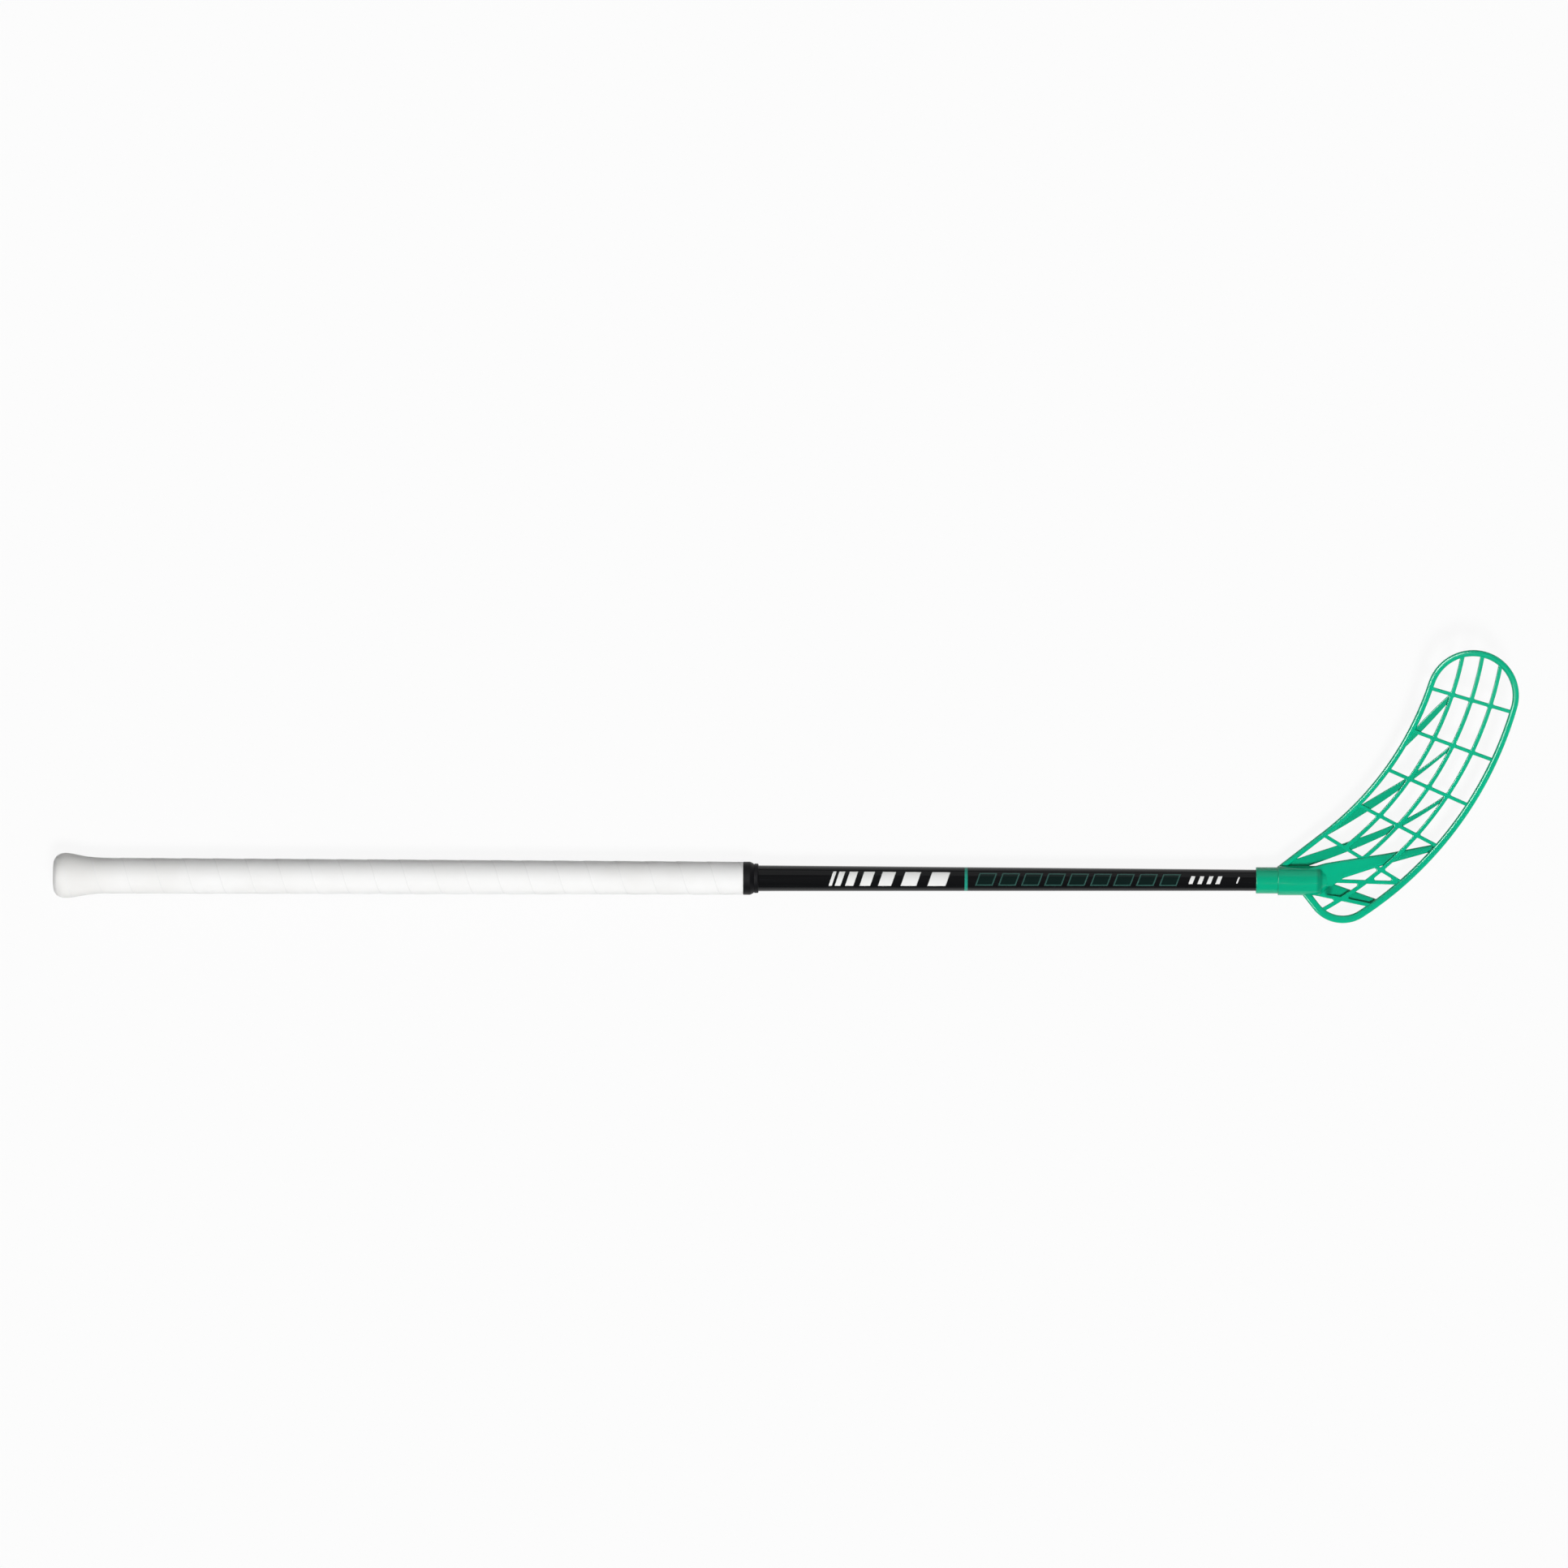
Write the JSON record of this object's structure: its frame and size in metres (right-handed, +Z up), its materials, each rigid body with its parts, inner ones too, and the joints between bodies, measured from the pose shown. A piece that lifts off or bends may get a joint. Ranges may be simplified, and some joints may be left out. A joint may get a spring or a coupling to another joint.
{
  "type": "floorball stick",
  "caption": "Floorball stick: tapered tube shaft with a wound tape grip, flared butt cap and rubber collar, and an open lattice blade on a glued socket.",
  "frame": {"origin": "middle of the flat butt end, on the shaft's axis", "axes": "+X along the shaft from the butt to the blade, +Y across towards the blade's toe, +Z up out of the blade's hollow playing face"},
  "size_m": [1.204, 0.225, 0.0539],
  "materials": {
    "shaft_black": "clear-coated black composite with printed bars",
    "cap_white": "matt white moulded rubber",
    "grip_white": "soft white cushioned grip tape",
    "collar_black": "matt black rubber",
    "glue_amber": "set hot-melt glue",
    "blade_green": "semi-gloss green moulded polyethylene"
  },
  "bodies": {
    "handle": {"shaft_tube": "shaft_black", "butt_cap": "cap_white", "grip_wrap": "grip_white", "blade_adhesive": "glue_amber"},
    "collar": {"grip_collar": "collar_black"},
    "blade": {"blade": "blade_green"}
  },
  "joints": [
    {"name": "collar_slide", "type": "slide", "parent": "handle", "child": "collar", "axis": [1, 0, 0], "range_m": [0, 0.4]},
    {"name": "blade_pull", "type": "slide", "parent": "handle", "child": "blade", "axis": [1, 0, 0], "range_m": [0, 0.06]}
  ]
}
